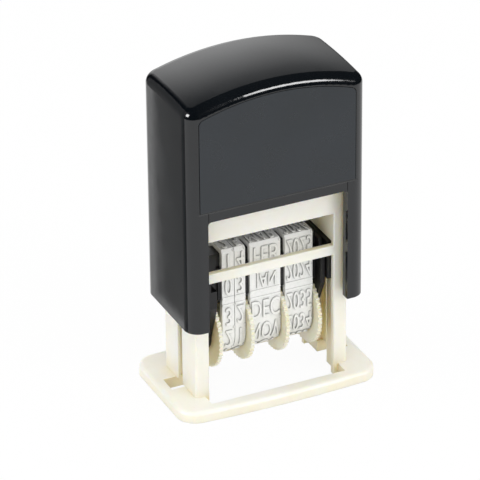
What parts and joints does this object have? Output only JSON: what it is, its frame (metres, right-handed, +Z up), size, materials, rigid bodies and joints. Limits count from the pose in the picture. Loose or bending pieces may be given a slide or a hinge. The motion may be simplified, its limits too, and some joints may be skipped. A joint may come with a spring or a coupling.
{
  "type": "self-inking date stamp",
  "caption": "Desk date stamp: pressing the cap flips a carrier of dated bands from the ink pad down onto the paper, and a spring lifts it back.",
  "frame": {"origin": "middle of the foot's outline, on the surface that it stands on", "axes": "+Z up along the cap's travel, +X to the right of the front panel, +Y to the back"},
  "size_m": [0.0416, 0.026, 0.0682],
  "materials": {
    "ivory_abs": "semi-gloss moulded ABS",
    "black_gloss": "gloss moulded ABS",
    "black_panel": "satin moulded ABS",
    "black_mechanism": "satin moulded",
    "black_tray": "satin moulded",
    "ink_felt": "ink-soaked felt",
    "band_rubber": "moulded rubber, unglazed",
    "ivory_wheel": "satin moulded",
    "axle_steel": "drawn rod",
    "spring_steel": "zinc-plated wire"
  },
  "bodies": {
    "frame": {"base_frame": "ivory_abs", "ink_pad_tray": "black_tray", "ink_pad": "ink_felt"},
    "cap": {"cap_housing": "black_gloss", "front_label_panel": "black_panel", "pivot_slide_left": "black_mechanism", "pivot_slide_right": "black_mechanism", "return_spring": "spring_steel"},
    "carrier": {"side_plate_left": "black_mechanism", "side_plate_right": "black_mechanism", "pivot_pin_left": "axle_steel", "pivot_pin_right": "axle_steel", "platen_bridge": "black_mechanism", "wheel_axle": "axle_steel", "axle_spacer": "ivory_wheel", "band_tens": "band_rubber", "band_units": "band_rubber", "band_month": "band_rubber", "band_year": "band_rubber"},
    "tens_wheel": {"thumbwheel_tens": "ivory_wheel"},
    "units_wheel": {"thumbwheel_units": "ivory_wheel"},
    "month_wheel": {"thumbwheel_month": "ivory_wheel"},
    "year_wheel": {"thumbwheel_year": "ivory_wheel"}
  },
  "joints": [
    {"name": "cap_press", "type": "slide", "parent": "frame", "child": "cap", "axis": [0, 0, -1], "range_m": [0, 0.015], "stiffness_N_per_m": 200, "springref_m": -0.01, "deforming": ["return_spring"]},
    {"name": "carrier_flip", "type": "hinge", "parent": "cap", "child": "carrier", "pos_m": [0, 0.0013, 0.02307], "axis": [1, 0, 0], "range_deg": [0, 180]},
    {"name": "tens_turn", "type": "hinge", "parent": "carrier", "child": "tens_wheel", "pos_m": [0, 0.002, 0.0117], "axis": [1, 0, 0], "continuous": true},
    {"name": "units_turn", "type": "hinge", "parent": "carrier", "child": "units_wheel", "pos_m": [0, 0.002, 0.0117], "axis": [1, 0, 0], "continuous": true},
    {"name": "month_turn", "type": "hinge", "parent": "carrier", "child": "month_wheel", "pos_m": [0, 0.002, 0.0117], "axis": [1, 0, 0], "continuous": true},
    {"name": "year_turn", "type": "hinge", "parent": "carrier", "child": "year_wheel", "pos_m": [0, 0.002, 0.0117], "axis": [1, 0, 0], "continuous": true}
  ],
  "couplings": [
    {"joint": "carrier_flip", "follows": "cap_press", "rad_per_m": 209.43}
  ]
}
